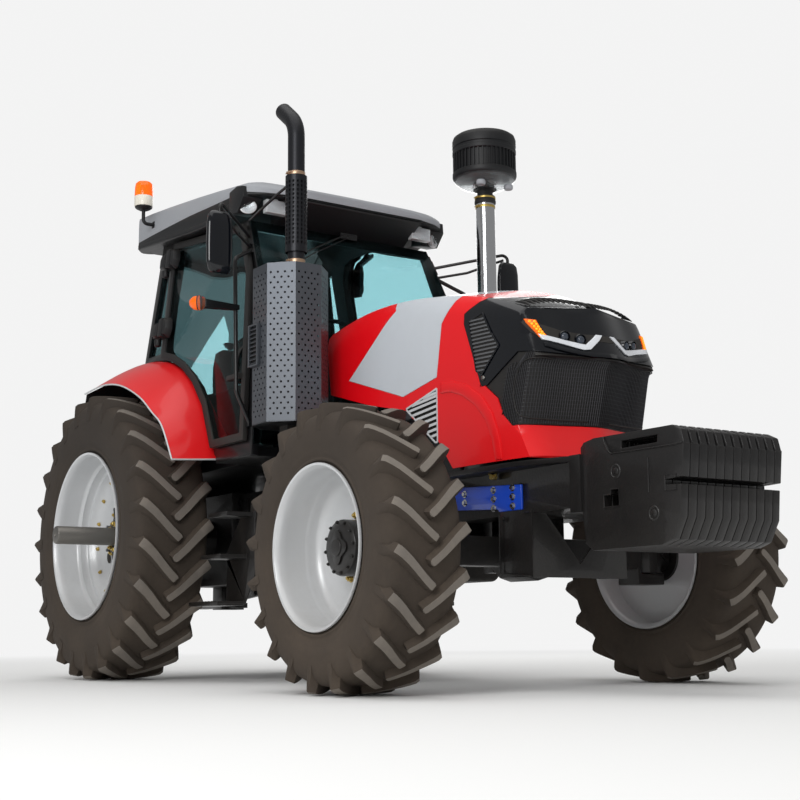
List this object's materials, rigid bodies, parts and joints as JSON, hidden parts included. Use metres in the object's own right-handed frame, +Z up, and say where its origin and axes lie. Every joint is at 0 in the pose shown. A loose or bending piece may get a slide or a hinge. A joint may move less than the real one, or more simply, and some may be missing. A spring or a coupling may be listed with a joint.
{
  "type": "farm tractor",
  "caption": "Four-wheel-drive farm tractor with a closed cab, long hood, front weights, rear bar axles and a three-point linkage; wheels, doors, hood and linkage move.",
  "frame": {"origin": "on the ground, under the middle of the machine's box", "axes": "+X forward towards the front weights, +Y to the driver's left, +Z up"},
  "size_m": [5.732, 2.828, 3.5133],
  "materials": {
    "tyre_rubber": "matt, dusty",
    "silver_paint": "satin silver",
    "red_paint": "gloss red",
    "black_paint": "satin black",
    "blue_paint": "satin blue",
    "grey_steel": "satin grey",
    "light_grey": "satin light grey",
    "bare_steel": "machined",
    "polished_steel": "polished",
    "cast_black": "painted cast iron",
    "black_plastic": "grained",
    "gloss_black": "gloss",
    "clear_glass": "tinted clear",
    "lamp_clear": "clear",
    "amber": "amber lens",
    "seat_fabric": "woven"
  },
  "bodies": {
    "chassis": {"front_frame": "cast_black", "front_weights": "cast_black", "frame_brackets": "blue_paint", "engine_block": "cast_black", "cooling_pack": "black_paint", "transmission_housing": "cast_black", "front_axle": "cast_black", "drawbar": "black_paint", "side_tanks": "black_plastic", "cab_steps": "black_paint", "cab_frame": "black_paint", "cab_roof": "light_grey", "windscreen": "clear_glass", "rear_windows": "clear_glass", "work_lamps": "lamp_clear", "fenders": "red_paint", "muffler_cover": "grey_steel", "exhaust_pipe": "black_paint", "intake_pipe": "polished_steel", "pre_cleaner": "black_plastic", "mirrors": "black_plastic", "handrails": "black_paint", "marker_lamps": "amber", "beacon": "amber", "seat_frame": "black_plastic", "seat_cushions": "seat_fabric", "dashboard": "black_plastic", "side_console": "black_plastic"},
    "knuckle_left": {"knuckle_left": "cast_black"},
    "front_wheel_left": {"front_tyre_left": "tyre_rubber", "front_rim_left": "silver_paint"},
    "rear_wheel_left": {"rear_tyre_left": "tyre_rubber", "rear_rim_left": "silver_paint", "bar_axle_left": "bare_steel"},
    "door_left": {"door_left_frame": "black_paint", "door_left_glass": "clear_glass"},
    "knuckle_right": {"knuckle_right": "cast_black"},
    "front_wheel_right": {"front_tyre_right": "tyre_rubber", "front_rim_right": "silver_paint"},
    "rear_wheel_right": {"rear_tyre_right": "tyre_rubber", "rear_rim_right": "silver_paint", "bar_axle_right": "bare_steel"},
    "door_right": {"door_right_frame": "black_paint", "door_right_glass": "clear_glass"},
    "hood": {"hood_shell": "red_paint", "headlight_mask": "gloss_black", "grille_mesh": "black_paint"},
    "steering_wheel": {"steering_wheel": "black_plastic"},
    "lift_arms": {"lift_arms": "cast_black"},
    "lift_rods": {"lift_rods": "bare_steel"},
    "lower_links": {"lower_links": "black_paint"}
  },
  "joints": [
    {"name": "steer_left", "type": "hinge", "parent": "chassis", "child": "knuckle_left", "pos_m": [1.383, 0.88, 0.69784], "axis": [0, 0, 1], "range_deg": [-40, 40]},
    {"name": "front_wheel_spin_left", "type": "hinge", "parent": "knuckle_left", "child": "front_wheel_left", "pos_m": [1.383, 1.075, 0.69784], "axis": [0, 1, 0], "continuous": true},
    {"name": "rear_wheel_spin_left", "type": "hinge", "parent": "chassis", "child": "rear_wheel_left", "pos_m": [-1.71, 0.973, 0.9428], "axis": [0, 1, 0], "continuous": true},
    {"name": "door_swing_left", "type": "hinge", "parent": "chassis", "child": "door_left", "pos_m": [-1.495, 0.76756, 2.58923], "axis": [0, -0.0993, 0.9951], "range_deg": [0, 75]},
    {"name": "steer_right", "type": "hinge", "parent": "chassis", "child": "knuckle_right", "pos_m": [1.383, -0.88, 0.69784], "axis": [0, 0, 1], "range_deg": [-40, 40]},
    {"name": "front_wheel_spin_right", "type": "hinge", "parent": "knuckle_right", "child": "front_wheel_right", "pos_m": [1.383, -1.075, 0.69784], "axis": [0, 1, 0], "continuous": true},
    {"name": "rear_wheel_spin_right", "type": "hinge", "parent": "chassis", "child": "rear_wheel_right", "pos_m": [-1.71, -0.973, 0.9428], "axis": [0, 1, 0], "continuous": true},
    {"name": "door_swing_right", "type": "hinge", "parent": "chassis", "child": "door_right", "pos_m": [-1.495, -0.76756, 2.58923], "axis": [0, -0.0993, -0.9951], "range_deg": [0, 75]},
    {"name": "hood_tilt", "type": "hinge", "parent": "chassis", "child": "hood", "pos_m": [0.195, 0, 1.99], "axis": [0, -1, 0], "range_deg": [0, 45]},
    {"name": "steering_wheel_turn", "type": "hinge", "parent": "chassis", "child": "steering_wheel", "pos_m": [-0.66, 0, 2.19], "axis": [-0.6428, 0, 0.766], "continuous": true},
    {"name": "lift_arms_raise", "type": "hinge", "parent": "chassis", "child": "lift_arms", "pos_m": [-2.14, 0, 1.29], "axis": [0, 1, 0], "range_deg": [-22, 32]},
    {"name": "lift_rods_swing", "type": "hinge", "parent": "lift_arms", "child": "lift_rods", "pos_m": [-2.53828, 0, 1.25299], "axis": [0, 1, 0], "range_deg": [-32, 22]},
    {"name": "lower_links_raise", "type": "hinge", "parent": "chassis", "child": "lower_links", "pos_m": [-1.96, 0, 0.64], "axis": [0, 1, 0], "range_deg": [-22, 32]}
  ],
  "couplings": [
    {"joint": "steer_right", "follows": "steer_left", "ratio": 1},
    {"joint": "lift_rods_swing", "follows": "lift_arms_raise", "ratio": -1},
    {"joint": "lower_links_raise", "follows": "lift_arms_raise", "ratio": 1}
  ]
}
